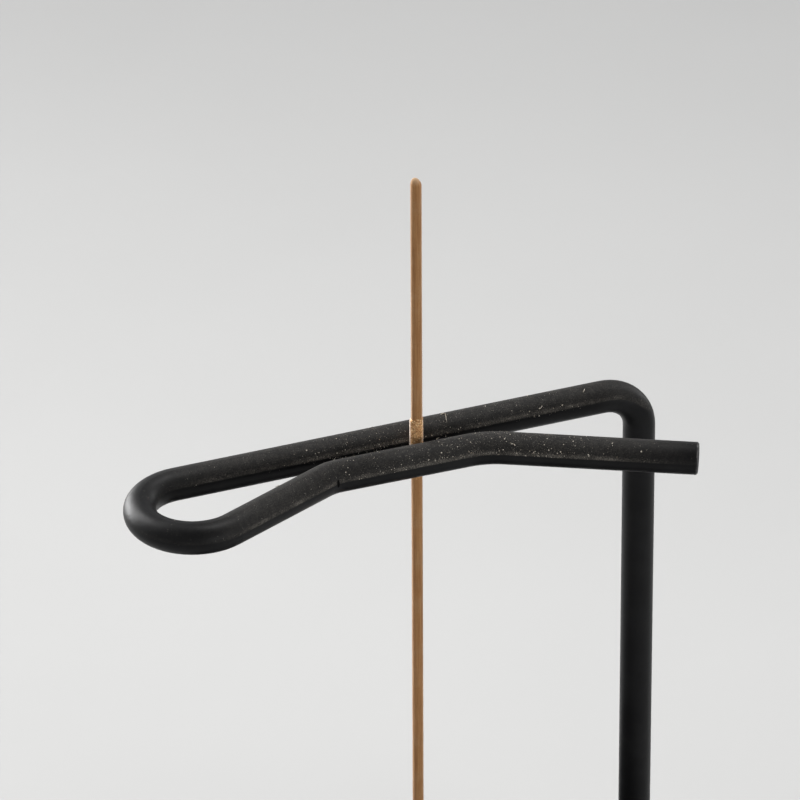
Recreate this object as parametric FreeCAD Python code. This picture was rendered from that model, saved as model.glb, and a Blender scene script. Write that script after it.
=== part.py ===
import FreeCAD, Part
import math
import os

# Incense burner: one bent steel rod stands on a round weighted base. The rod's
# top runs out as a level arm, turns back on itself like a hairpin and pinches
# an upright incense stick over a loose ash tray.
#
# Frame: millimetres, +Z up. The origin is the centre of the underside, on the
# table, straight below the stick. The arm runs along X and the hairpin turns
# back toward -Y.

V = FreeCAD.Vector
UP = V(0, 0, 1)

# rod
rod_radius = 3.0
arm_height = 126.0            # arm centreline above the table
post_x = 45.6                 # post axis, measured from the stick
post_bend_radius = 7.4        # centreline radius of the bend from post to arm
arm_reach = 90.7              # post axis to the start of the hairpin turn
turn_radius = 9.65            # centreline radius of the hairpin turn
approach_angle = 24.1         # how fast the front run closes on the arm
approach_bend_radius = 8.2
grip_angle = -0.8             # the run that holds the stick, nearly parallel to the arm
grip_length = 24.6
flare_angle = -28.0           # the tail opens away from the arm as a lead-in
flare_bend_radius = 14.7
flare_length = 35.1
grip_gap = 2.5                # clear space between the two runs at the stick
saw_edge = 0.25               # broken edge round the sawn tail end
match_distance = 0.01         # how near an edge's centre lies to where it should be

# incense stick
stick_length = 140.0
stick_above_arm = 55.75
stick_radius = 1.05
held_radius = 1.22            # roughened stretch where the rod pinches the stick
held_above = 6.2
held_below = 6.0
held_taper = 0.35

# base plate
foot_height = 2.0
base_radius = 58.0
base_thickness = 8.0
base_edge = 1.2
pocket_radius = 36.4
pocket_depth = 2.5

# joint between post and base
socket_depth = 3.5
flat_offset = 2.2             # the post's flat, measured from its axis, stops it turning
seat_clearance = 0.02
counterbore_radius = 3.6
counterbore_depth = 3.0
screw_radius = 1.5
screw_hole_radius = 1.7
screw_length = 10.0
screw_head_radius = 2.85
screw_head_height = 1.65
screw_head_round = 0.9
hex_across_flats = 2.0
hex_depth = 1.0
tapped_depth = 9.0
thread_clearance = 0.02
washer_inner_radius = 1.6
washer_outer_radius = 3.1
washer_thickness = 0.8
washer_split = 0.6

# ash tray
tray_foot_radius = 36.0
tray_wall_angle = 71.44       # wall's lean, measured from the floor
tray_height = 10.0
tray_wall = 1.2
tray_corner = 3.0
rim_bead_radius = 1.0

# rubber feet
foot_radius = 6.0
foot_edge = 0.6
foot_circle_radius = 45.0
foot_count = 4
foot_first_angle = 45.0

base_bottom = foot_height
base_top = base_bottom + base_thickness
arm_y = rod_radius + grip_gap / 2
post_base = base_top - socket_depth
counterbore_top = base_bottom + counterbore_depth
screw_seat = counterbore_top - washer_thickness
tray_floor = base_top - pocket_depth
stick_bottom = arm_height + stick_above_arm - stick_length


def heading(degrees):
    angle = math.radians(degrees)
    return V(math.cos(angle), math.sin(angle), 0)


def left_of(degrees):
    return heading(degrees + 90)


def cylinder(radius, height, x, y, z):
    return Part.makeCylinder(radius, height, V(x, y, z), UP)


def revolve(edges):
    """Full solid of revolution about Z from a closed profile in the XZ plane."""
    face = Part.Face(Part.Wire(edges))
    return face.revolve(V(0, 0, 0), UP, 360)


def line(start, end):
    return Part.LineSegment(start, end).toShape()


def arc(start, middle, end):
    return Part.Arc(start, middle, end).toShape()


def level_bend(start, from_degrees, to_degrees, radius):
    """Arc in the arm's plane, tangent to both headings, and where it ends."""
    side = 1 if to_degrees > from_degrees else -1
    centre = start + left_of(from_degrees) * (side * radius)
    middle_degrees = (from_degrees + to_degrees) / 2
    middle = centre - left_of(middle_degrees) * (side * radius)
    end = centre - left_of(to_degrees) * (side * radius)
    return arc(start, middle, end), end


def approach_length(turn_end):
    """Length that brings the grip run to its gap beside the stick."""
    slope = math.tan(math.radians(grip_angle))
    along = heading(approach_angle)
    bend_end = level_bend(turn_end, approach_angle, grip_angle, approach_bend_radius)[1]
    grip_y = -arm_y
    missing = grip_y - bend_end.y + slope * bend_end.x
    return missing / (along.y - slope * along.x)


def rod_path():
    """Centreline of the rod, from the foot of the post to the sawn tail."""
    foot = V(post_x, arm_y, post_base)
    bend_low = V(post_x, arm_y, arm_height - post_bend_radius)
    corner = post_bend_radius * (1 - math.sqrt(0.5))
    bend_middle = V(post_x - corner, arm_y, arm_height - corner)
    bend_high = V(post_x - post_bend_radius, arm_y, arm_height)
    turn_start = V(post_x - arm_reach, arm_y, arm_height)
    # heading 180 is along -X; the hairpin turns left to 360 plus the approach angle
    turn, turn_end = level_bend(turn_start, 180, 360 + approach_angle, turn_radius)
    approach_end = turn_end + heading(approach_angle) * approach_length(turn_end)
    closing, grip_start = level_bend(approach_end, approach_angle, grip_angle, approach_bend_radius)
    grip_end = grip_start + heading(grip_angle) * grip_length
    opening, flare_start = level_bend(grip_end, grip_angle, flare_angle, flare_bend_radius)
    tail = flare_start + heading(flare_angle) * flare_length
    return [
        line(foot, bend_low),
        arc(bend_low, bend_middle, bend_high),
        line(bend_high, turn_start),
        turn,
        line(turn_end, approach_end),
        closing,
        line(grip_start, grip_end),
        opening,
        line(flare_start, tail),
    ]


def post_key(radius, flat, bottom, height):
    """Round peg with one flat on its +X side."""
    peg = cylinder(radius, height, post_x, arm_y, bottom)
    cutter = Part.makeBox(radius, 2 * radius, height, V(post_x + flat, arm_y - radius, bottom))
    return peg.cut(cutter)


def bent_rod():
    section = Part.Wire(Part.makeCircle(rod_radius, V(post_x, arm_y, post_base), UP))
    rod = Part.Wire(rod_path()).makePipeShell([section], True, False)
    tail_edges = [edge for edge in rod.Edges if is_tail_edge(edge)]
    rod = rod.makeChamfer(saw_edge, tail_edges)
    outside_flat = V(post_x + flat_offset, arm_y - rod_radius, post_base)
    rod = rod.cut(Part.makeBox(rod_radius, 2 * rod_radius, socket_depth, outside_flat))
    tapped_radius = screw_radius + thread_clearance
    return rod.cut(cylinder(tapped_radius, tapped_depth, post_x, arm_y, post_base))


def is_tail_edge(edge):
    """True for the circle round the free end of the rod."""
    tail = rod_path()[-1].Vertexes[-1].Point
    at_tail = edge.CenterOfMass.distanceToPoint(tail) < match_distance
    return isinstance(edge.Curve, Part.Circle) and at_tail


def base_plate():
    plate = cylinder(base_radius, base_thickness, 0, 0, base_bottom)
    rims = [edge for edge in plate.Edges if isinstance(edge.Curve, Part.Circle)]
    plate = plate.makeFillet(base_edge, rims)
    plate = plate.cut(cylinder(pocket_radius, pocket_depth, 0, 0, tray_floor))
    socket = post_key(rod_radius + seat_clearance, flat_offset + seat_clearance, post_base, socket_depth)
    plate = plate.cut(socket)
    plate = plate.cut(cylinder(counterbore_radius, counterbore_depth, post_x, arm_y, base_bottom))
    return plate.cut(cylinder(screw_hole_radius, base_thickness, post_x, arm_y, base_bottom))


def fixing_screw():
    """Button-head socket screw, pushed up through the base into the post."""
    head = cylinder(screw_head_radius, screw_head_height, post_x, arm_y, screw_seat - screw_head_height)
    low_rim = [edge for edge in head.Edges if edge.CenterOfMass.z < screw_seat - screw_head_height / 2]
    low_rim = [edge for edge in low_rim if isinstance(edge.Curve, Part.Circle)]
    head = head.makeFillet(screw_head_round, low_rim)
    shank = cylinder(screw_radius, screw_length, post_x, arm_y, screw_seat)
    return head.fuse(shank).cut(hex_socket()).removeSplitter()


def hex_socket():
    corner_radius = hex_across_flats / math.sqrt(3)
    bottom = screw_seat - screw_head_height
    corners = []
    for step in range(6):
        offset = heading(60 * step) * corner_radius
        corners.append(V(post_x, arm_y, bottom) + offset)
    corners.append(corners[0])
    return Part.Face(Part.makePolygon(corners)).extrude(UP * hex_depth)


def lock_washer():
    ring = cylinder(washer_outer_radius, washer_thickness, post_x, arm_y, screw_seat)
    ring = ring.cut(cylinder(washer_inner_radius, washer_thickness, post_x, arm_y, screw_seat))
    corner = V(post_x, arm_y - washer_split / 2, screw_seat)
    return ring.cut(Part.makeBox(washer_outer_radius, washer_split, washer_thickness, corner))


def ash_tray():
    """Shallow pressed dish with a flared wall and a rolled rim."""
    outer_centre = V(tray_foot_radius - tray_corner, 0, tray_floor + tray_corner)

    def on_corner(radius, degrees):
        angle = math.radians(degrees)
        return outer_centre + V(radius * math.cos(angle), 0, radius * math.sin(angle))

    inner_corner = tray_corner - tray_wall
    wall_degrees = tray_wall_angle - 90
    outer_low = V(0, 0, tray_floor)
    inner_low = V(0, 0, tray_floor + tray_wall)
    outer_corner_start = on_corner(tray_corner, -90)
    outer_corner_end = on_corner(tray_corner, wall_degrees)
    inner_corner_start = on_corner(inner_corner, -90)
    inner_corner_end = on_corner(inner_corner, wall_degrees)
    up_wall = V(math.cos(math.radians(tray_wall_angle)), 0, math.sin(math.radians(tray_wall_angle)))
    wall_length = (tray_floor + tray_height - outer_corner_end.z) / up_wall.z
    outer_top = outer_corner_end + up_wall * wall_length
    inner_top = inner_corner_end + up_wall * wall_length
    lip_middle = (outer_top + inner_top) * 0.5 + up_wall * (tray_wall / 2)
    dish = revolve([
        line(outer_low, outer_corner_start),
        arc(outer_corner_start, on_corner(tray_corner, (wall_degrees - 90) / 2), outer_corner_end),
        line(outer_corner_end, outer_top),
        arc(outer_top, lip_middle, inner_top),
        line(inner_top, inner_corner_end),
        arc(inner_corner_end, on_corner(inner_corner, (wall_degrees - 90) / 2), inner_corner_start),
        line(inner_corner_start, inner_low),
        line(inner_low, outer_low),
    ])
    bead_centre = (outer_top + inner_top) * 0.5
    bead = Part.makeTorus(bead_centre.x, rim_bead_radius, V(0, 0, bead_centre.z), UP)
    return dish.fuse(bead).removeSplitter()


def incense_stick():
    """Masala stick: a plain shaft, rounded at the top, thicker where it is held."""
    held_high = arm_height + held_above
    held_low = arm_height - held_below
    tip = arm_height + stick_above_arm
    shoulder = tip - stick_radius
    on_tip = V(stick_radius * math.sqrt(0.5), 0, shoulder + stick_radius * math.sqrt(0.5))
    return revolve([
        line(V(0, 0, stick_bottom), V(stick_radius, 0, stick_bottom)),
        line(V(stick_radius, 0, stick_bottom), V(stick_radius, 0, held_low - held_taper)),
        line(V(stick_radius, 0, held_low - held_taper), V(held_radius, 0, held_low)),
        line(V(held_radius, 0, held_low), V(held_radius, 0, held_high)),
        line(V(held_radius, 0, held_high), V(stick_radius, 0, held_high + held_taper)),
        line(V(stick_radius, 0, held_high + held_taper), V(stick_radius, 0, shoulder)),
        arc(V(stick_radius, 0, shoulder), on_tip, V(0, 0, tip)),
        line(V(0, 0, tip), V(0, 0, stick_bottom)),
    ])


def rubber_foot(index):
    angle = foot_first_angle + index * 360 / foot_count
    centre = heading(angle) * foot_circle_radius
    foot = cylinder(foot_radius, foot_height, centre.x, centre.y, 0)
    low_rim = [edge for edge in foot.Edges if edge.CenterOfMass.z < foot_height / 4]
    return foot.makeChamfer(foot_edge, low_rim)


def save(name, shape):
    shape.exportStep(os.path.join("parts", name + ".step"))


os.makedirs("parts", exist_ok=True)
save("bent_rod", bent_rod())
save("base_plate", base_plate())
save("fixing_screw", fixing_screw())
save("lock_washer", lock_washer())
save("ash_tray", ash_tray())
save("incense_stick", incense_stick())
for foot_index in range(foot_count):
    save(f"rubber_foot_{foot_index + 1}", rubber_foot(foot_index))
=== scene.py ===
import math
import random

import bmesh
import bpy
import numpy as np
from mathutils import Matrix, Vector, noise


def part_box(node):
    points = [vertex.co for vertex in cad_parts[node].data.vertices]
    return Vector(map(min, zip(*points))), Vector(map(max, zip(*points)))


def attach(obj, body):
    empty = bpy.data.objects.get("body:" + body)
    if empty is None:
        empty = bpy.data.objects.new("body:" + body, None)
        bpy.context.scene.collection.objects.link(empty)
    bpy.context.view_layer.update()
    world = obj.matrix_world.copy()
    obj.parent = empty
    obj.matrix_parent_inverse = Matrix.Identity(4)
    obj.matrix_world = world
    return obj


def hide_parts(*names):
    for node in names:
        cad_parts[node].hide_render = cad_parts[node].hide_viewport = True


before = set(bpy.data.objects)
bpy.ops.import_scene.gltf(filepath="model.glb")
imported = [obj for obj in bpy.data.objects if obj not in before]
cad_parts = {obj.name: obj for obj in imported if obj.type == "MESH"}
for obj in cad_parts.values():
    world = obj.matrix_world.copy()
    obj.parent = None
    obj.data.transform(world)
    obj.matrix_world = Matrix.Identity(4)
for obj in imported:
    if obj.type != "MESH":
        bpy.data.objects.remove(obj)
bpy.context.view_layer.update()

MM = 0.001

# rod
ROD_RADIUS = 3.0 * MM
ARM_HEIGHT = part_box("bent_rod")[1].z - ROD_RADIUS     # centreline of the level arm
FLARE_ANGLE = math.radians(-28.0)         # heading of the tail, from +X
NICK = Vector((-18.0 * MM, -7.15 * MM, ARM_HEIGHT + 0.4 * MM))

# incense stick
STICK_LOW, STICK_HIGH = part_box("incense_stick")
SHAFT_RADIUS = 1.035 * MM
HELD_RADIUS = 1.13 * MM                   # roughened stretch, where the rod pinches it
HELD_LIMIT = 1.21 * MM                    # lumps on that stretch stop here, clear of the rod
HELD_BULGE = 0.20 * MM                    # how far it bulges past that on its thick side
HELD_ABOVE = 6.2 * MM                     # how far it reaches above and below the arm
HELD_BELOW = 5.7 * MM
BULGE_SIDE = math.radians(159.0)          # direction in which it is thickest, and where it has a painted highlight
CROWN = 1.7 * MM                          # height of the rounded top
TIP_LEAN = 0.22 * MM                      # how far the top leans towards that side

# base and tray
PLATE_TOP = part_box("base_plate")[1]       # highest corner
TRAY_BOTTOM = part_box("ash_tray")[0].z

# dust and grains, as linear colours
DUST = (0.33, 0.30, 0.26)
DARK_GRAIN = (0.16, 0.14, 0.115)
PALE_GRAIN = (0.62, 0.58, 0.51)

# loose bits
SEED = 7
GRAINS_ON_ROD = 1500
HAIRS_ON_ROD = 6
GRAINS_IN_TRAY = 130
HAIR_RADIUS = 0.085 * MM
HOOK_HAIR = (                # x and y along one hooked hair on the back arm, in mm
    (6.5, 4.6), (6.8, 4.7), (7.1, 4.7), (7.3, 4.5), (7.25, 4.1), (7.1, 3.6), (6.95, 3.1), (6.85, 2.6))
LARGE_GRAINS = (             # x and y of the largest grains on the arms, in mm
    (23.5, -12.7), (-20.4, 2.6), (2.2, -6.5), (25.3, -12.9), (31.6, -16.2), (35.8, -19.7),
    (27.4, 1.6), (29.2, 1.7), (-3.8, 1.7), (15.5, -6.7))
DUSTY_SPOTS = (              # x, y and reach of each patch in mm, and its weight
    (-6, 2.5, 7, 0.8), (-15, 2.5, 8, 0.3), (6.4, 2.4, 1.8, 1.0), (22, 2.0, 9, 0.25),
    (2, -6.9, 4, 0.7), (10, -7.2, 5, 1.0), (17, -9.8, 4, 1.2), (23, -13.3, 3, 0.5),
    (19, -9, 5, 0.5), (27, -14, 1.8, 0.5), (31.6, -16.2, 1.5, 1.0), (35.5, -19.5, 2.5, 0.4),
    (-12, -6, 6, 0.4))

# stage
FLOOR_RADIUS = 9.0
HORIZON_LIGHT = 0.62                      # strength of the room's own light
OVERHEAD_LIGHT = 0.20
OVERHEAD_FROM = 0.7                       # upward part of a direction where that is reached


# ---------------------------------------------------------------- shader helper

class Shader:
    """One material's node tree, with short calls for the nodes used here."""

    def __init__(self, name):
        self.material = bpy.data.materials.new(name)
        self.material.use_nodes = True
        self.tree = self.material.node_tree
        self.surface = self.tree.nodes["Principled BSDF"]
        coordinates = self.tree.nodes.new("ShaderNodeTexCoord")
        self.position = coordinates.outputs["Object"]
        self.normal = coordinates.outputs["Normal"]

    def feed(self, socket, value):
        """Links a socket to a node's output, or sets it to a plain value."""
        if isinstance(value, bpy.types.NodeSocket):
            self.tree.links.new(value, socket)
        else:
            socket.default_value = value

    def set(self, **values):
        """Sets inputs of the Principled shader; Base_Color means Base Color."""
        for name, value in values.items():
            self.feed(self.surface.inputs[name.replace("_", " ")], value)

    def math(self, operation, first, second=0.0, third=0.0):
        node = self.tree.nodes.new("ShaderNodeMath")
        node.operation = operation
        for socket, value in zip(node.inputs, (first, second, third)):
            self.feed(socket, value)
        return node.outputs[0]

    def vector_math(self, operation, first, second):
        node = self.tree.nodes.new("ShaderNodeVectorMath")
        node.operation = operation
        self.feed(node.inputs[0], first)
        self.feed(node.inputs[1], second)
        name = "Value" if operation in ("DOT_PRODUCT", "LENGTH", "DISTANCE") else "Vector"
        return node.outputs[name]

    def axes(self, vector):
        """X, Y and Z of a vector."""
        node = self.tree.nodes.new("ShaderNodeSeparateXYZ")
        self.feed(node.inputs[0], vector)
        return node.outputs

    def join(self, x, y, z):
        node = self.tree.nodes.new("ShaderNodeCombineXYZ")
        for socket, value in zip(node.inputs, (x, y, z)):
            self.feed(socket, value)
        return node.outputs[0]

    def noise(self, size, detail=3.0, roughness=0.55, vector=None):
        """Noise from 0 to 1 with features of about size metres."""
        node = self.tree.nodes.new("ShaderNodeTexNoise")
        self.feed(node.inputs["Vector"], vector or self.position)
        node.inputs["Scale"].default_value = 1 / size
        node.inputs["Detail"].default_value = detail
        node.inputs["Roughness"].default_value = roughness
        return node.outputs[0]

    def cells(self, size, vector=None):
        """Voronoi cells: distance to the cell's centre, and a random colour per cell."""
        node = self.tree.nodes.new("ShaderNodeTexVoronoi")
        self.feed(node.inputs["Vector"], vector or self.position)
        node.inputs["Scale"].default_value = 1 / size
        return node.outputs["Distance"], node.outputs["Color"]

    def map(self, value, low, high, to_low=0.0, to_high=1.0, smooth=True):
        """Maps low..high to to_low..to_high, clamped."""
        node = self.tree.nodes.new("ShaderNodeMapRange")
        node.interpolation_type = "SMOOTHSTEP" if smooth else "LINEAR"
        for socket, number in zip(node.inputs, (value, low, high, to_low, to_high)):
            self.feed(socket, number)
        return node.outputs[0]

    def mix(self, factor, first, second):
        """Colour between first and second."""
        node = self.tree.nodes.new("ShaderNodeMix")
        node.data_type = "RGBA"
        self.feed(node.inputs["Factor"], factor)
        colour_a, colour_b = node.inputs[6], node.inputs[7]
        for socket, colour in ((colour_a, first), (colour_b, second)):
            linked = isinstance(colour, bpy.types.NodeSocket)
            self.feed(socket, colour if linked else (*colour, 1.0))
        return node.outputs[2]

    def blend(self, factor, first, second):
        """Number between first and second."""
        node = self.tree.nodes.new("ShaderNodeMix")
        number_a, number_b = node.inputs[2], node.inputs[3]
        self.feed(node.inputs["Factor"], factor)
        self.feed(number_a, first)
        self.feed(number_b, second)
        return node.outputs[0]

    def bump(self, height, depth, strength=1.0, normal=None):
        """Bump whose height of 0 to 1 stands for depth metres."""
        node = self.tree.nodes.new("ShaderNodeBump")
        node.inputs["Strength"].default_value = strength
        node.inputs["Distance"].default_value = depth
        self.feed(node.inputs["Height"], height)
        if normal is not None:
            self.feed(node.inputs["Normal"], normal)
        return node.outputs[0]

    def upward(self, start, full):
        """From 0 to 1 as the normal's upward part goes from start to full."""
        return self.map(self.axes(self.normal)[2], start, full)

    def from_axis(self):
        """Distance from the stick's axis, which is the Z axis."""
        x, y, _ = self.axes(self.position)
        return self.vector_math("LENGTH", self.join(x, y, 0.0), (0, 0, 0))

    def specks(self, size, share, largest=0.30, smallest=0.08):
        """Mask and random colour of round grains. share is the part of the cells that hold one."""
        distance, colour = self.cells(size)
        red, green, _ = self.axes(colour)
        radius = self.map(green, 0.0, 1.0, smallest, largest, smooth=False)
        exists = self.math("LESS_THAN", red, share)
        inside = self.math("LESS_THAN", distance, self.math("MULTIPLY", radius, exists))
        return inside, colour


# ---------------------------------------------------------------- materials

def coating(name, dark, light, grain_depth, roughness_low, roughness_high):
    """Black powder coat with fine grain, slight orange peel and patchy sheen.

    Returns the shader with its colour, roughness and normal, not yet on the surface."""
    s = Shader(name)
    patches = s.noise(9 * MM, detail=5)
    peel = s.noise(0.9 * MM, detail=2)
    grain = s.noise(0.16 * MM, detail=3, roughness=0.7)
    colour = s.mix(s.map(patches, 0.35, 0.7), dark, light)
    rough = s.map(s.math("ADD", patches, s.math("MULTIPLY", grain, 0.4)), 0.45, 1.0,
                  roughness_low, roughness_high)
    normal = s.bump(peel, grain_depth * 2.5, 0.5)
    normal = s.bump(grain, grain_depth, 0.9, normal)
    s.set(Specular_IOR_Level=0.13)
    return s, colour, rough, normal


def dusted(s, colour, rough, normal, share, film, ledge=0.0, limit=0.0):
    """Lays incense dust on what looks up: a thin film, and scattered pale grains.

    ledge adds a line of it low on the shoulders.
    limit is how far up a face has to look before any dust stays on it.
    Returns the new colour, roughness and normal."""
    lift = s.math("SUBTRACT", s.axes(s.normal)[2], limit)
    up = s.map(lift, 0.05, 0.15)
    shoulder = s.math("MULTIPLY", up, s.map(lift, 0.42, 0.22))
    cloud = s.map(s.noise(1.3 * MM, detail=6, roughness=0.8), 0.36, 0.70, 0.45, 1.0)
    powder = s.map(s.noise(0.20 * MM, detail=3, roughness=0.7), 0.38, 0.66, 0.35, 1.6)
    patchy = s.map(s.noise(7 * MM, detail=3), 0.38, 0.62, 0.25, 1.0)
    on_ledge = s.math("MULTIPLY", shoulder, patchy)
    amount = s.math("MULTIPLY_ADD", on_ledge, ledge, s.math("MULTIPLY", up, film))
    dust = s.math("MULTIPLY", s.math("MULTIPLY", cloud, powder), amount)
    colour = s.mix(dust, colour, DUST)
    rough = s.blend(s.math("MINIMUM", s.math("MULTIPLY", amount, 9.0), 1.0), rough, 0.72)
    piled = s.math("MULTIPLY", powder, s.math("MULTIPLY", amount, 5.0))
    normal = s.bump(piled, 0.02 * MM, 0.8, normal)

    more_on_ledge = s.math("MULTIPLY_ADD", shoulder, 2.0, 1.0)
    uneven = s.math("MULTIPLY", patchy, more_on_ledge)
    share_here = s.math("MULTIPLY", s.math("MULTIPLY", share, up), uneven)
    fine, fine_colour = s.specks(0.19 * MM, share_here, 0.24, 0.05)
    coarse, _ = s.specks(0.75 * MM, s.math("MULTIPLY", share_here, 0.25), 0.10, 0.03)
    _, _, blue = s.axes(fine_colour)
    pale = s.mix(blue, DARK_GRAIN, PALE_GRAIN)
    both = s.math("MAXIMUM", fine, coarse)
    colour = s.mix(s.math("MULTIPLY", both, 0.7), colour, pale)
    rough = s.blend(both, rough, 0.9)
    normal = s.bump(both, 0.03 * MM, 0.8, normal)
    return colour, rough, normal


def rod_tail():
    """Centre of the sawn end, and the direction it faces."""
    along = Vector((math.cos(FLARE_ANGLE), math.sin(FLARE_ANGLE), 0))
    points = [v.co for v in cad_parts["bent_rod"].data.vertices]
    reach = max(p.dot(along) for p in points)
    end = [p for p in points if p.dot(along) > reach - 0.01 * MM]
    centre = sum(end, Vector()) / len(end)
    return centre, along


def rod_material():
    """Coated rod, dusty near the stick, with a nick, faint scratches and a sawn end."""
    s, colour, rough, normal = coating(
        "black_rod_coating", (0.0045, 0.0045, 0.005), (0.009, 0.009, 0.0095), 0.015 * MM, 0.34, 0.46)
    # dust is thickest where the stick is pushed in and out
    radius = s.from_axis()
    near_stick = s.map(radius, 4 * MM, 46 * MM, 0.50, 0.06)
    film = s.map(radius, 34 * MM, 54 * MM, 0.085, 0.012)
    ledge = s.map(radius, 30 * MM, 50 * MM, 0.38, 0.02)
    x, y, z = s.axes(s.position)
    cleaner_behind = s.map(y, -4 * MM, 3 * MM, 0.0, 0.17)
    colour, rough, normal = dusted(s, colour, rough, normal, near_stick, film, ledge, cleaner_behind)

    # faint handling scratches along the arm
    streak_space = s.join(s.math("MULTIPLY", x, 0.06), y, z)
    streaks = s.map(s.noise(0.12 * MM, detail=2, vector=streak_space), 0.66, 0.76)
    rough = s.blend(s.math("MULTIPLY", streaks, 0.5), rough, 0.25)

    # a nick in the coating on the approach bend, its hollow darkened with painted shade
    from_nick = s.vector_math("SUBTRACT", s.position, tuple(NICK))
    nick_space = s.vector_math("DIVIDE", from_nick, (0.34 * MM, 0.6 * MM, 0.95 * MM))
    nick_and_shade = s.map(s.vector_math("LENGTH", nick_space, (0, 0, 0)), 1.0, 0.6)
    colour = s.mix(nick_and_shade, colour, (0.001, 0.001, 0.001))
    rough = s.blend(nick_and_shade, rough, 1.0)
    normal = s.bump(nick_and_shade, -0.12 * MM, 1.0, normal)

    # the sawn tail: saw marks under the coating, and a paler, part-metal ring in patches round the
    # corner, a painted highlight on that edge
    centre, along = rod_tail()
    from_tail = s.vector_math("SUBTRACT", s.position, tuple(centre))
    past = s.vector_math("DOT_PRODUCT", from_tail, tuple(along))
    face = s.math("GREATER_THAN", past, -0.05 * MM)
    saw_space = s.join(s.math("MULTIPLY", x, 0.2), y, s.math("MULTIPLY", z, 0.05))
    saw = s.noise(0.10 * MM, detail=2, vector=saw_space)
    normal = s.bump(s.math("MULTIPLY", saw, face), 0.04 * MM, 0.7, normal)
    rough = s.blend(face, rough, 0.55)
    corner = s.math("MULTIPLY", s.map(past, -0.16 * MM, -0.04 * MM),
                    s.map(s.vector_math("LENGTH", from_tail, (0, 0, 0)), 2.62 * MM, 2.74 * MM))
    painted_edge_highlight = s.math("MULTIPLY", corner, s.map(s.noise(1.1 * MM, detail=4), 0.46, 0.58))
    colour = s.mix(painted_edge_highlight, colour, (0.13, 0.125, 0.12))
    rough = s.blend(painted_edge_highlight, rough, 0.40)
    s.set(Base_Color=colour, Roughness=rough, Normal=normal, Metallic=s.math("MULTIPLY", painted_edge_highlight, 0.6))
    return s.material


def base_material():
    """Coarser coat, with a little dust and a worn top edge."""
    s, colour, rough, normal = coating(
        "black_base_coating", (0.009, 0.009, 0.0095), (0.016, 0.016, 0.0165), 0.035 * MM, 0.42, 0.60)
    near = s.map(s.from_axis(), 30 * MM, 60 * MM, 0.10, 0.03)
    colour, rough, normal = dusted(s, colour, rough, normal, near, 0.035)
    # coating rubbed thin along the top edge
    _, _, z = s.axes(s.position)
    edge_radius = PLATE_TOP.x - 1.0 * MM
    rim = s.map(s.from_axis(), edge_radius - 0.5 * MM, edge_radius + 0.4 * MM)
    top = s.map(z, PLATE_TOP.z - 1.0 * MM, PLATE_TOP.z - 0.2 * MM)
    chips = s.map(s.noise(1.3 * MM, detail=6, roughness=0.7), 0.60, 0.66)
    worn = s.math("MULTIPLY", s.math("MULTIPLY", rim, top), chips)
    colour = s.mix(s.math("MULTIPLY", worn, 0.7), colour, (0.20, 0.19, 0.18))
    rough = s.blend(worn, rough, 0.35)
    s.set(Base_Color=colour, Roughness=rough, Normal=normal)
    return s.material


def tray_material():
    """Smoother coat over spinning marks, with ash on the floor."""
    s, colour, rough, normal = coating(
        "black_tray_coating", (0.009, 0.0085, 0.0085), (0.016, 0.0155, 0.015), 0.010 * MM, 0.24, 0.38)
    # spinning marks: fine rings round the axis
    radius = s.from_axis()
    rings = s.noise(0.35 * MM, detail=4, vector=s.join(radius, 0.0, 0.0))
    normal = s.bump(rings, 0.02 * MM, 0.5, normal)
    rough = s.math("ADD", rough, s.map(rings, 0.3, 0.7, -0.05, 0.07))
    # ash and incense dust gather in the middle of the floor
    share = s.map(radius, 3 * MM, 30 * MM, 0.55, 0.04)
    colour, rough, normal = dusted(s, colour, rough, normal, share, 0.06)
    middle = s.map(radius, 24 * MM, 4 * MM)
    powder = s.map(s.noise(2.4 * MM, detail=8, roughness=0.8), 0.46, 0.74)
    haze = s.math("MULTIPLY", s.math("MULTIPLY", middle, powder), s.upward(0.6, 0.95))
    colour = s.mix(s.math("MULTIPLY", haze, 0.22), colour, (0.36, 0.34, 0.32))
    rough = s.blend(haze, rough, 0.85)
    s.set(Base_Color=colour, Roughness=rough, Normal=normal)
    return s.material


def rubber_material():
    """Mottled black rubber."""
    s = Shader("black_rubber")
    mottled = s.noise(2.2 * MM, detail=5)
    grain = s.noise(0.12 * MM, detail=3)
    s.set(Base_Color=s.mix(mottled, (0.020, 0.020, 0.021), (0.042, 0.041, 0.040)))
    s.set(Roughness=s.map(mottled, 0.3, 0.7, 0.72, 0.90))
    s.set(Normal=s.bump(grain, 0.03 * MM, 0.7), Specular_IOR_Level=0.35)
    return s.material


def steel_material(name, colour_low, colour_high, centre):
    """Turned steel: fine rings round the part's own axis, with a little staining."""
    s = Shader(name)
    offset = s.vector_math("SUBTRACT", s.position, (centre.x, centre.y, 0.0))
    x, y, _ = s.axes(offset)
    radius = s.vector_math("LENGTH", s.join(x, y, 0.0), (0, 0, 0))
    rings = s.noise(0.07 * MM, detail=3, vector=s.join(radius, 0.0, 0.0))
    stain = s.noise(1.4 * MM, detail=5)
    s.set(Base_Color=s.mix(s.map(stain, 0.35, 0.7), colour_low, colour_high), Metallic=1.0)
    s.set(Roughness=s.map(s.math("ADD", rings, s.math("MULTIPLY", stain, 0.5)), 0.4, 1.1, 0.22, 0.45))
    s.set(Normal=s.bump(rings, 0.008 * MM, 0.6))
    return s.material


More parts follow.
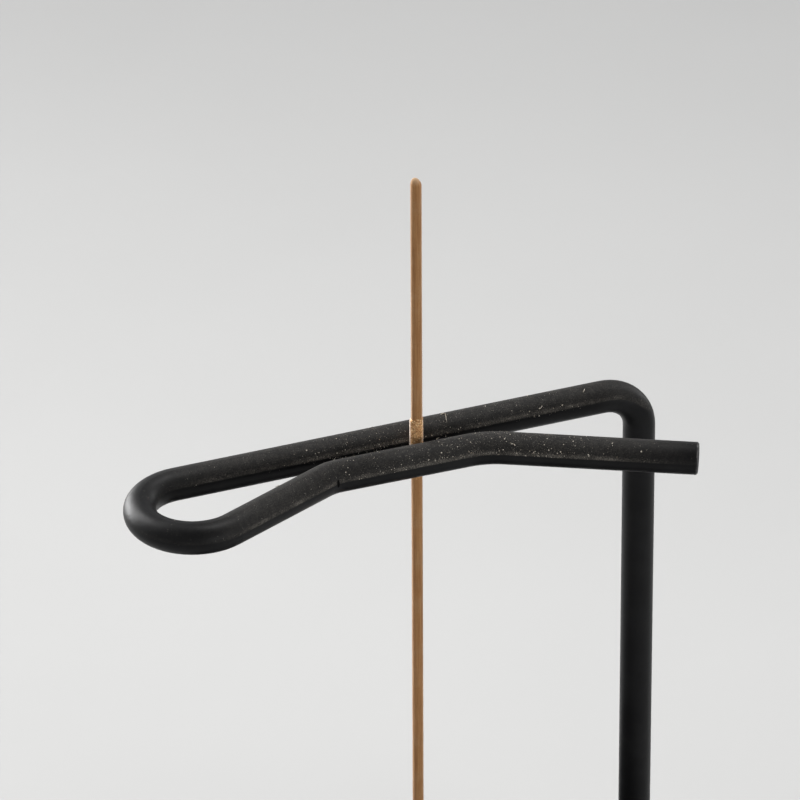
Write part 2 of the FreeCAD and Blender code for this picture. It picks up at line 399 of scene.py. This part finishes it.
def paste_material():
    """Pressed incense paste on a stick: streaked brown, golden and crumbly where it is held."""
    s = Shader("incense_paste")
    x, y, z = s.axes(s.position)
    stretched = s.join(x, y, s.math("MULTIPLY", z, 0.035))
    streaks = s.noise(0.32 * MM, detail=5, roughness=0.65, vector=stretched)
    blotches = s.noise(3.5 * MM, detail=4)
    grain = s.noise(0.11 * MM, detail=4, roughness=0.75)
    brown = s.mix(s.map(streaks, 0.34, 0.68), (0.300, 0.142, 0.053), (0.410, 0.214, 0.088))
    brown = s.mix(s.math("MULTIPLY", s.map(blotches, 0.45, 0.75), 0.35), brown, (0.39, 0.24, 0.12))
    dark_grain, _ = s.specks(0.20 * MM, 0.22, 0.40, 0.15)
    brown = s.mix(s.math("MULTIPLY", dark_grain, 0.45), brown, (0.125, 0.058, 0.023))

    # held stretch
    ragged = s.map(s.noise(0.7 * MM, detail=4), 0.2, 0.8, -0.5 * MM, 0.5 * MM, smooth=False)
    above = s.math("SUBTRACT", z, ARM_HEIGHT)
    offset = s.math("ADD", above, ragged)
    held = s.math("MULTIPLY", s.map(offset, HELD_ABOVE + 0.3 * MM, HELD_ABOVE - 0.1 * MM),
                  s.map(offset, -HELD_BELOW - 0.3 * MM, -HELD_BELOW + 0.1 * MM))
    flake_distance, flake_colour = s.cells(0.25 * MM)
    red, green, _ = s.axes(flake_colour)
    gold = s.mix(red, (0.500, 0.230, 0.085), (0.860, 0.540, 0.260))
    # the gaps between flakes are darker: darker paste there, and painted shade in the recesses the
    # bump sinks
    gap_paste_and_shade = s.map(flake_distance, 0.45, 0.75, 0.0, 0.65)
    gold = s.mix(gap_paste_and_shade, gold, (0.205, 0.075, 0.024))
    pale_flake = s.math("GREATER_THAN", green, 0.90)
    gold = s.mix(s.math("MULTIPLY", pale_flake, 0.7), gold, (0.92, 0.68, 0.38))
    # painted highlight: the thick side, towards the left light, is painted pale
    bulge_direction = (math.cos(BULGE_SIDE), math.sin(BULGE_SIDE), 0.0)
    painted_highlight_reach = s.vector_math("DOT_PRODUCT", s.position, bulge_direction)
    gold = s.mix(s.map(painted_highlight_reach, 1.05 * MM, 1.30 * MM, 0.0, 0.85), gold, (0.74, 0.62, 0.54))
    colour = s.mix(held, brown, gold)

    # pale top and the cut lower end
    ragged_tip = s.math("MULTIPLY_ADD", grain, 0.8 * MM, z)
    tip = s.map(ragged_tip, STICK_HIGH.z - 0.9 * MM, STICK_HIGH.z + 0.4 * MM)
    colour = s.mix(s.math("MULTIPLY", tip, 0.5), colour, (0.62, 0.46, 0.30))
    foot = s.map(z, STICK_LOW.z + 0.5 * MM, STICK_LOW.z)
    colour = s.mix(s.math("MULTIPLY", foot, 0.5), colour, (0.10, 0.05, 0.025))

    normal = s.bump(streaks, 0.05 * MM, 0.7)
    normal = s.bump(grain, 0.03 * MM, 0.9, normal)
    flake_bump = s.math("MULTIPLY", flake_distance, held)
    normal = s.bump(flake_bump, -0.08 * MM, 0.5, normal)
    s.set(Base_Color=colour, Roughness=s.map(grain, 0.3, 0.7, 0.78, 0.95), Normal=normal)
    s.set(Specular_IOR_Level=0.25, Sheen_Weight=1.0, Sheen_Roughness=0.30)
    s.set(Sheen_Tint=(1.0, 0.94, 0.88, 1.0))
    return s.material


def crumb_material():
    """Loose incense and ash, from brown to pale."""
    s = Shader("incense_crumbs")
    tone = s.noise(0.5 * MM, detail=2)
    grain = s.noise(0.05 * MM, detail=3)
    colour = s.mix(s.map(tone, 0.35, 0.68), (0.20, 0.165, 0.125), (0.74, 0.68, 0.58))
    s.set(Base_Color=colour, Roughness=s.map(grain, 0.3, 0.7, 0.75, 0.95))
    s.set(Normal=s.bump(grain, 0.02 * MM, 0.8), Specular_IOR_Level=0.3)
    return s.material


def floor_material():
    """Plain pale floor, with a faint cloud in it."""
    s = Shader("pale_floor")
    cloud = s.noise(120 * MM, detail=4)
    s.set(Base_Color=s.mix(cloud, (0.43, 0.428, 0.423), (0.465, 0.463, 0.458)))
    s.set(Roughness=s.map(cloud, 0.3, 0.7, 0.85, 0.95), Specular_IOR_Level=0.1)
    return s.material


def paint(node, material):
    """Gives a CAD node a better material in its own slot."""
    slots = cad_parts[node].material_slots
    for slot in slots:
        slot.material = material


# ---------------------------------------------------------------- shared by the added meshes

def mesh_object(name, vertices, faces):
    """A smooth-shaded mesh, put in the scene."""
    mesh = bpy.data.meshes.new(name)
    mesh.from_pydata(vertices, [], faces)
    mesh.polygons.foreach_set("use_smooth", [True] * len(mesh.polygons))
    mesh.update()
    thing = bpy.data.objects.new(name, mesh)
    bpy.context.scene.collection.objects.link(thing)
    return thing


def smooth_step(value, low, high):
    """From 0 at low to 1 at high, eased. low may be the larger."""
    t = min(1.0, max(0.0, (value - low) / (high - low)))
    return t * t * (3 - 2 * t)


# ---------------------------------------------------------------- incense stick

def stick_radius(angle, z):
    """Radius of the stick's skin, in metres, with ridges, pits and the crumbly stretch."""
    round_point = Vector((math.cos(angle), math.sin(angle), 0))

    def around(tightness, height):
        """Point to read noise at: tightness sets how fast it changes round the stick."""
        return Vector((round_point.x * tightness, round_point.y * tightness, height))

    ridges = noise.fractal(around(2.6, z / (9 * MM)), 0.8, 2.0, 4)
    pits = noise.noise(around(7.0, z / (0.22 * MM)))
    shaft = SHAFT_RADIUS + ridges * 0.018 * MM + pits * 0.006 * MM
    ragged = noise.noise(around(1.8, 4.0)) * 0.5 * MM
    bulge = math.cos(angle - BULGE_SIDE)
    above = z - ARM_HEIGHT + ragged + bulge * 0.35 * MM
    held = smooth_step(above, HELD_ABOVE + 0.15 * MM, HELD_ABOVE - 0.15 * MM)
    held *= smooth_step(above, -HELD_BELOW - 0.25 * MM, -HELD_BELOW + 0.15 * MM)
    lumps = noise.fractal(around(4.2, z / (0.30 * MM)), 0.6, 2.1, 3)
    crumbly = HELD_RADIUS + lumps * 0.075 * MM
    crumbly = min(crumbly, HELD_LIMIT) + max(0.0, bulge) ** 4 * HELD_BULGE
    return shaft + (crumbly - shaft) * held


def stick_heights():
    """Ring heights, close together where the skin is crumbly and at the rounded top."""
    fine, coarse = 0.08 * MM, 0.45 * MM
    heights = []
    z = STICK_LOW.z
    while z < STICK_HIGH.z - CROWN:
        heights.append(z)
        near_held = abs(z - ARM_HEIGHT) < HELD_ABOVE + 1.2 * MM
        z += fine if near_held else coarse
    crown_rings = 16
    for ring in range(crown_rings):
        heights.append(STICK_HIGH.z - CROWN * (1 - ring / crown_rings) ** 2)
    return heights


def incense_stick():
    """The stick as one closed skin of rings, with a leaning rounded top."""
    segments = 72
    lean = Vector((math.cos(BULGE_SIDE), math.sin(BULGE_SIDE), 0)) * TIP_LEAN
    vertices, faces = [], []
    heights = stick_heights()
    for z in heights:
        below_top = min(1.0, (STICK_HIGH.z - z) / CROWN)
        near_top = (1 - below_top) ** 2
        roundness = math.sqrt(1 - near_top)
        for index in range(segments):
            angle = 2 * math.pi * index / segments
            radius = stick_radius(angle, z) * roundness
            vertices.append((radius * math.cos(angle) + lean.x * near_top,
                             radius * math.sin(angle) + lean.y * near_top, z))
    for ring in range(len(heights) - 1):
        low = ring * segments
        for index in range(segments):
            after = (index + 1) % segments
            faces.append((low + index, low + after, low + segments + after, low + segments + index))
    top_ring = (len(heights) - 1) * segments
    vertices.append((lean.x, lean.y, STICK_HIGH.z - 0.01 * MM))
    vertices.append((0, 0, STICK_LOW.z + 0.12 * MM))
    for index in range(segments):
        after = (index + 1) % segments
        faces.append((top_ring + index, top_ring + after, len(vertices) - 2))
        faces.append((after, index, len(vertices) - 1))
    return mesh_object("incense_stick_body", vertices, faces)


# ---------------------------------------------------------------- grains and hairs

def grain_shape():
    """Vertices and faces of a rough unit ball."""
    ball = bmesh.new()
    bmesh.ops.create_icosphere(ball, subdivisions=1, radius=1.0)
    vertices = [v.co.copy() for v in ball.verts]
    faces = [[v.index for v in f.verts] for f in ball.faces]
    ball.free()
    return vertices, faces


def upward_spots(node, count, chance, dice):
    """count points and normals on a CAD node's upward faces, thinned by chance(point, normal)."""
    least_upward = 0.03
    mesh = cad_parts[node].data
    mesh.calc_loop_triangles()
    triangles = list(mesh.loop_triangles)
    totals = np.cumsum([t.area if t.normal.z > least_upward else 0.0 for t in triangles])
    spots = []
    while len(spots) < count:
        triangle = triangles[int(np.searchsorted(totals, dice.random() * totals[-1]))]
        a, b, c = [mesh.vertices[i].co for i in triangle.vertices]
        u, v = sorted((dice.random(), dice.random()))
        point = a * u + b * (v - u) + c * (1 - v)
        if dice.random() < chance(point, triangle.normal):
            spots.append((point, triangle.normal.copy()))
    return spots


def crumbs(name, spots, smallest, largest, dice):
    """One mesh of small rough grains, each sunk a little into the surface below it."""
    ball, ball_faces = grain_shape()
    vertices, faces = [], []
    for point, normal in spots:
        size = smallest + (largest - smallest) * dice.random() ** 4
        stretch = Vector((dice.uniform(0.7, 1.4), dice.uniform(0.7, 1.2), dice.uniform(0.5, 0.9)))
        spin = Matrix.Rotation(dice.uniform(0, math.tau), 3, normal)
        turn = spin @ normal.to_track_quat("Z", "Y").to_matrix()
        seed = Vector((dice.uniform(0, 50), dice.uniform(0, 50), 0))
        start = len(vertices)
        for corner in ball:
            rough = 1 + 0.45 * noise.noise(corner * 1.7 + seed)
            shaped = Vector(corner[i] * stretch[i] for i in range(3)) * rough * size
            vertices.append(point + normal * size * 0.3 + turn @ shaped)
        faces += [[start + i for i in face] for face in ball_faces]
    return mesh_object(name, vertices, faces)


def curled_path(point, normal, dice):
    """A short curl lying on the surface, as points and normals."""
    steps = 14
    along = Matrix.Rotation(dice.uniform(0, math.tau), 3, normal) @ normal.orthogonal().normalized()
    curl = dice.uniform(-2.6, 2.6)
    length = dice.uniform(0.4, 1.1) * MM
    place = point.copy()
    path = []
    for step in range(steps):
        along = Matrix.Rotation(curl / steps, 3, normal) @ along
        place = place + along * (length / steps)
        path.append((place, normal))
    return path


def fibres(name, paths, radius):
    """Hairs along paths on the surface, as one mesh of thin tapered tubes."""
    sides = 6
    vertices, faces = [], []
    for path in paths:
        start = len(vertices)
        last = len(path) - 1
        for step, (place, normal) in enumerate(path):
            along = (path[min(step + 1, last)][0] - path[max(step - 1, 0)][0]).normalized()
            side = along.cross(normal).normalized()
            arch = normal * (radius * 0.8 + math.sin(math.pi * step / last) * 0.05 * MM)
            thin = radius * (1 - 0.6 * step / last)
            for index in range(sides):
                angle = math.tau * index / sides
                ring = side * math.cos(angle) + normal * math.sin(angle)
                vertices.append(place + arch + ring * thin)
        for step in range(last):
            low = start + step * sides
            for index in range(sides):
                after = (index + 1) % sides
                faces.append((low + index, low + after, low + sides + after, low + sides + index))
        faces.append([start + index for index in reversed(range(sides))])
        faces.append([start + last * sides + index for index in range(sides)])
    return mesh_object(name, vertices, faces)


def rod_dust_chance(point, normal):
    """Likelier in the dusty patches and on the shoulders, never against the stick."""
    if math.hypot(point.x, point.y) < 2.3 * MM or point.z < ARM_HEIGHT + 0.3 * MM:
        return 0.0
    patches = 0.02
    for x, y, reach, weight in DUSTY_SPOTS:
        apart = math.hypot(point.x - x * MM, point.y - y * MM) / (reach * MM)
        patches += weight * math.exp(-apart ** 2)
    clumps = smooth_step(noise.noise(point / (1.6 * MM)), -0.25, 0.45)
    shoulder = 1.0 if normal.z < 0.50 else 0.22
    return min(1.0, patches) * (0.3 + 0.7 * clumps) * shoulder


def on_rod(x, y):
    """Point and normal on top of the arms at x and y, which are in millimetres."""
    well_above = Vector((x * MM, y * MM, ARM_HEIGHT + 2 * ROD_RADIUS))
    _, point, normal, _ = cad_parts["bent_rod"].ray_cast(well_above, Vector((0, 0, -1)))
    return point, normal


def hair_chance(point, normal):
    """1 on top of the arms, some way from the stick, and 0 elsewhere."""
    from_stick = math.hypot(point.x, point.y)
    on_arms = point.z > ARM_HEIGHT and normal.z > 0.4
    return 1.0 if on_arms and 3.5 * MM < from_stick < 34 * MM else 0.0


def tray_dust_chance(point, _):
    """Likelier towards the middle of the tray's floor."""
    from_stick = math.hypot(point.x, point.y)
    if point.z > TRAY_BOTTOM + 2 * MM:
        return 0.0
    return math.exp(-(from_stick / (11 * MM)) ** 2)


# ---------------------------------------------------------------- stage

def stage():
    """Pale floor, and a room that is brighter at the horizon than overhead."""
    bpy.ops.mesh.primitive_circle_add(
        vertices=96, radius=FLOOR_RADIUS, fill_type="NGON", location=(0, 0, 0))
    floor = bpy.context.object
    floor.name = "floor"
    floor.data.materials.append(floor_material())

    world = bpy.data.worlds.new("studio")
    world.use_nodes = True
    tree = world.node_tree
    direction = tree.nodes.new("ShaderNodeTexCoord").outputs["Generated"]
    height = tree.nodes.new("ShaderNodeSeparateXYZ")
    tree.links.new(direction, height.inputs[0])
    fade = tree.nodes.new("ShaderNodeMapRange")
    tree.links.new(height.outputs[2], fade.inputs["Value"])
    fade.inputs["From Max"].default_value = OVERHEAD_FROM
    fade.inputs["To Min"].default_value = HORIZON_LIGHT
    fade.inputs["To Max"].default_value = OVERHEAD_LIGHT
    tree.links.new(fade.outputs[0], tree.nodes["Background"].inputs["Strength"])
    tree.nodes["Background"].inputs["Color"].default_value = (0.96, 0.98, 1.0, 1)
    bpy.context.scene.world = world
    bpy.context.scene.view_settings.view_transform = "Standard"


def soft_light(name, place, aim, size, power, spread=180):
    """A soft box. A grid on its front keeps its light within spread degrees."""
    lamp = bpy.data.lights.new(name, "AREA")
    lamp.shape = "RECTANGLE"
    lamp.size, lamp.size_y = size
    lamp.energy = power
    lamp.spread = math.radians(spread)
    thing = bpy.data.objects.new(name, lamp)
    thing.location = place
    thing.rotation_mode = "QUATERNION"
    thing.rotation_quaternion = (Vector(aim) - Vector(place)).to_track_quat("-Z", "Y")
    thing.visible_camera = False
    bpy.context.scene.collection.objects.link(thing)


def soft_sun(name, towards, strength, spread):
    """Even light from one side of the room: towards points at it."""
    lamp = bpy.data.lights.new(name, "SUN")
    lamp.energy = strength
    lamp.angle = math.radians(spread)
    thing = bpy.data.objects.new(name, lamp)
    thing.rotation_mode = "QUATERNION"
    thing.rotation_quaternion = Vector(towards).to_track_quat("Z", "Y")
    bpy.context.scene.collection.objects.link(thing)


def lights():
    """A sun and four soft boxes round the clip.

    The boxes' places and sizes are in metres and their powers in watts. Spreads are in degrees."""
    clip = (0, 0, ARM_HEIGHT)
    soft_sun("back_right", (0.42, 0.16, 0.89), 1.8, 12)
    soft_light("left_box", (-0.42, 0.85, 0.24), clip, (0.56, 0.46), 2.3, 60)
    soft_light("high_box", (-0.42, 0.62, 0.72), clip, (0.60, 0.40), 1.15, 60)
    soft_light("front_fill", (0.45, -1.15, 0.24), clip, (0.50, 0.30), 0.5, 60)
    soft_light("right_strip", (0.93, 0.34, 0.36), clip, (0.12, 0.7), 2.8)


def camera():
    """Looks down at the clip from the front left, from far off with a long lens."""
    azimuth, elevation, roll = math.radians(-21.25), math.radians(30.69), math.radians(-0.28)
    distance = 1.452
    back = Vector((math.sin(azimuth) * math.cos(elevation), -math.cos(azimuth) * math.cos(elevation),
                   math.sin(elevation)))
    right = Vector((math.cos(azimuth), math.sin(azimuth), 0))
    up = back.cross(right)
    arm_middle = Vector((-4.4 * MM, 4.25 * MM, ARM_HEIGHT))
    aim_right, aim_up = 2.64, 7.45        # how far from there the picture's centre lies, in mm
    aim = arm_middle + right * aim_right * MM + up * aim_up * MM
    place = arm_middle + back * distance
    data = bpy.data.cameras.new("camera")
    data.lens = 360
    data.sensor_width = 36
    data.clip_start, data.clip_end = 0.05, 50
    thing = bpy.data.objects.new("camera", data)
    thing.location = place
    thing.rotation_mode = "QUATERNION"
    level = (aim - place).to_track_quat("-Z", "Y")
    thing.rotation_quaternion = level @ Matrix.Rotation(roll, 4, "Z").to_quaternion()
    bpy.context.scene.collection.objects.link(thing)
    bpy.context.scene.camera = thing


# ---------------------------------------------------------------- build

paint("bent_rod", rod_material())
paint("base_plate", base_material())
paint("ash_tray", tray_material())
screw_low, screw_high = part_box("fixing_screw")
post_axis = (screw_low + screw_high) / 2
paint("fixing_screw", steel_material("screw_steel", (0.42, 0.41, 0.40), (0.60, 0.59, 0.58), post_axis))
paint("lock_washer", steel_material("washer_steel", (0.46, 0.44, 0.41), (0.62, 0.60, 0.56), post_axis))
rubber = rubber_material()
for foot in ("rubber_foot_1", "rubber_foot_2", "rubber_foot_3", "rubber_foot_4"):
    paint(foot, rubber)

stick = incense_stick()
stick.data.materials.append(paste_material())
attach(stick, "stick")
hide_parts("incense_stick")

dice = random.Random(SEED)
crumb_look = crumb_material()
rod_spots = upward_spots("bent_rod", GRAINS_ON_ROD, rod_dust_chance, dice)
rod_crumbs = crumbs("rod_crumbs", rod_spots, 0.022 * MM, 0.105 * MM, dice)
rod_crumbs.data.materials.append(crumb_look)
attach(rod_crumbs, "stand")

large_spots = [on_rod(x, y) for x, y in LARGE_GRAINS]
large_grains = crumbs("rod_large_grains", large_spots, 0.11 * MM, 0.17 * MM, dice)
large_grains.data.materials.append(crumb_look)
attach(large_grains, "stand")

hair_spots = upward_spots("bent_rod", HAIRS_ON_ROD, hair_chance, dice)
hairs = [curled_path(point, normal, dice) for point, normal in hair_spots]
hairs.append([on_rod(x, y) for x, y in HOOK_HAIR])
rod_fibres = fibres("rod_fibres", hairs, HAIR_RADIUS)
rod_fibres.data.materials.append(crumb_look)
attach(rod_fibres, "stand")

tray_spots = upward_spots("ash_tray", GRAINS_IN_TRAY, tray_dust_chance, dice)
tray_crumbs = crumbs("tray_crumbs", tray_spots, 0.04 * MM, 0.22 * MM, dice)
tray_crumbs.data.materials.append(crumb_look)
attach(tray_crumbs, "tray")

stage()
lights()
camera()
